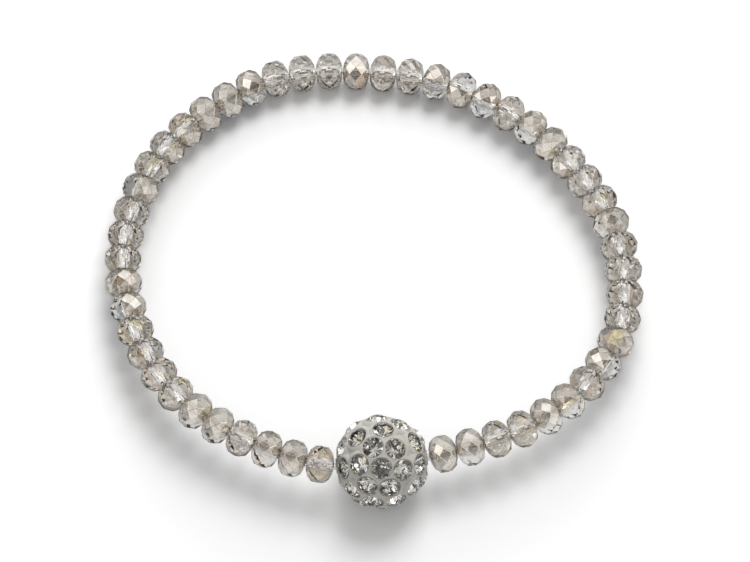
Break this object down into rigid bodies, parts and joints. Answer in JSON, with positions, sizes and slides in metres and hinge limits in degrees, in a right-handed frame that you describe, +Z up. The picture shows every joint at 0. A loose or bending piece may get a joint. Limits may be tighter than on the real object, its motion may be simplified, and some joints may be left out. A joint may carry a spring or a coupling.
{
  "type": "stretch bracelet of faceted glass beads with one crystal ball",
  "caption": "Stretch bracelet lying as a loose oval: faceted glass rondelles on a clear elastic, with a round clay bead set with pointed-back crystals at the front. Worn on the wrist.",
  "frame": {"origin": "on the surface under the middle of the lying bracelet's box", "axes": "+X to the wearer's right along the longer way across the loop, +Y from the ball towards the back of the loop, +Z up"},
  "size_m": [0.0584, 0.0556, 0.0102],
  "materials": {
    "clay": "off-white polymer clay, smooth and dull",
    "crystal": "clear cut crystal with a foiled back",
    "bead_glass": "faceted glass, one half clear and the other plated in a warm grey metallic sheen",
    "elastic": "clear stretch elastic"
  },
  "bodies": {
    "root": {"pave_ball": "clay", "ball_crystals": "crystal", "bead_string_left": "bead_glass", "bead_string_right": "bead_glass", "elastic_cord": "elastic"}
  },
  "joints": []
}
